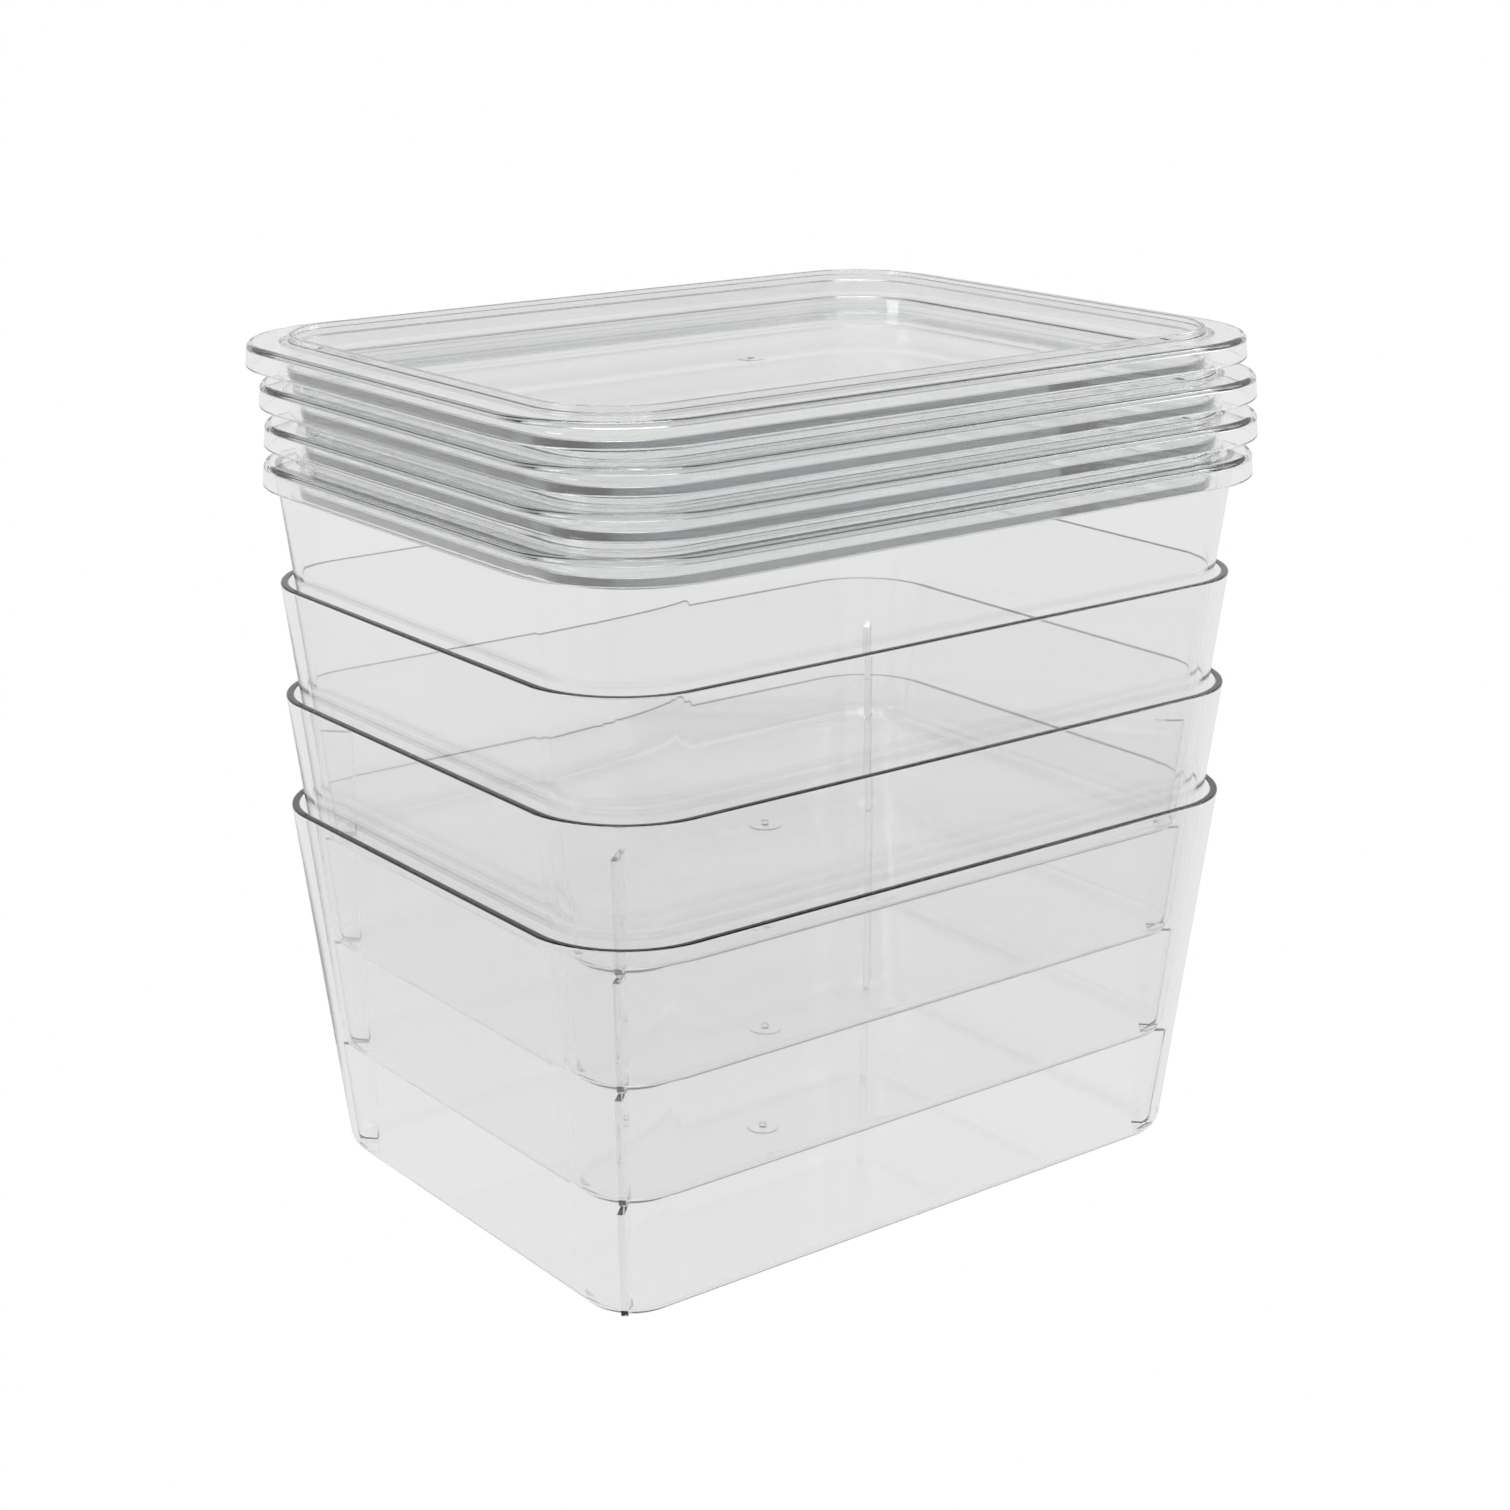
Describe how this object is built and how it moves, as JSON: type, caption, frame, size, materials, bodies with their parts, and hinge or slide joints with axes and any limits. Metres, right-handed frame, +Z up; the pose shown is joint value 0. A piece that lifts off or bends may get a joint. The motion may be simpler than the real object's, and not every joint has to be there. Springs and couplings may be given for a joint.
{
  "type": "nesting storage bin set",
  "caption": "Clear tapered storage bins with rounded corners, nested one inside the next on corner ribs, under a stack of clear lids, each with a lipped tray.",
  "frame": {"origin": "middle of the lowest bin's flat underside, on the surface that the set stands on", "axes": "+X along the long side, +Y along the short side, +Z up through the stack, the way each piece lifts off"},
  "size_m": [0.3171, 0.2434, 0.3141],
  "materials": {
    "bin_clear": "clear and glossy, moulded",
    "lid_clear": "clear and glossy, moulded"
  },
  "bodies": {
    "bin_1": {"bin_1": "bin_clear"},
    "bin_2": {"bin_2": "bin_clear"},
    "bin_3": {"bin_3": "bin_clear"},
    "bin_4": {"bin_4": "bin_clear"},
    "lid_1": {"lid_1": "lid_clear"},
    "lid_2": {"lid_2": "lid_clear"},
    "lid_3": {"lid_3": "lid_clear"},
    "lid_4": {"lid_4": "lid_clear"}
  },
  "joints": [
    {"name": "bin_2_lift", "type": "slide", "parent": "bin_1", "child": "bin_2", "axis": [0, 0, 1], "range_m": [0, 0.12]},
    {"name": "bin_3_lift", "type": "slide", "parent": "bin_2", "child": "bin_3", "axis": [0, 0, 1], "range_m": [0, 0.12]},
    {"name": "bin_4_lift", "type": "slide", "parent": "bin_3", "child": "bin_4", "axis": [0, 0, 1], "range_m": [0, 0.12]},
    {"name": "lid_1_lift", "type": "slide", "parent": "bin_4", "child": "lid_1", "axis": [0, 0, 1], "range_m": [0, 0.04]},
    {"name": "lid_2_lift", "type": "slide", "parent": "lid_1", "child": "lid_2", "axis": [0, 0, 1], "range_m": [0, 0.04]},
    {"name": "lid_3_lift", "type": "slide", "parent": "lid_2", "child": "lid_3", "axis": [0, 0, 1], "range_m": [0, 0.04]},
    {"name": "lid_4_lift", "type": "slide", "parent": "lid_3", "child": "lid_4", "axis": [0, 0, 1], "range_m": [0, 0.04]}
  ]
}
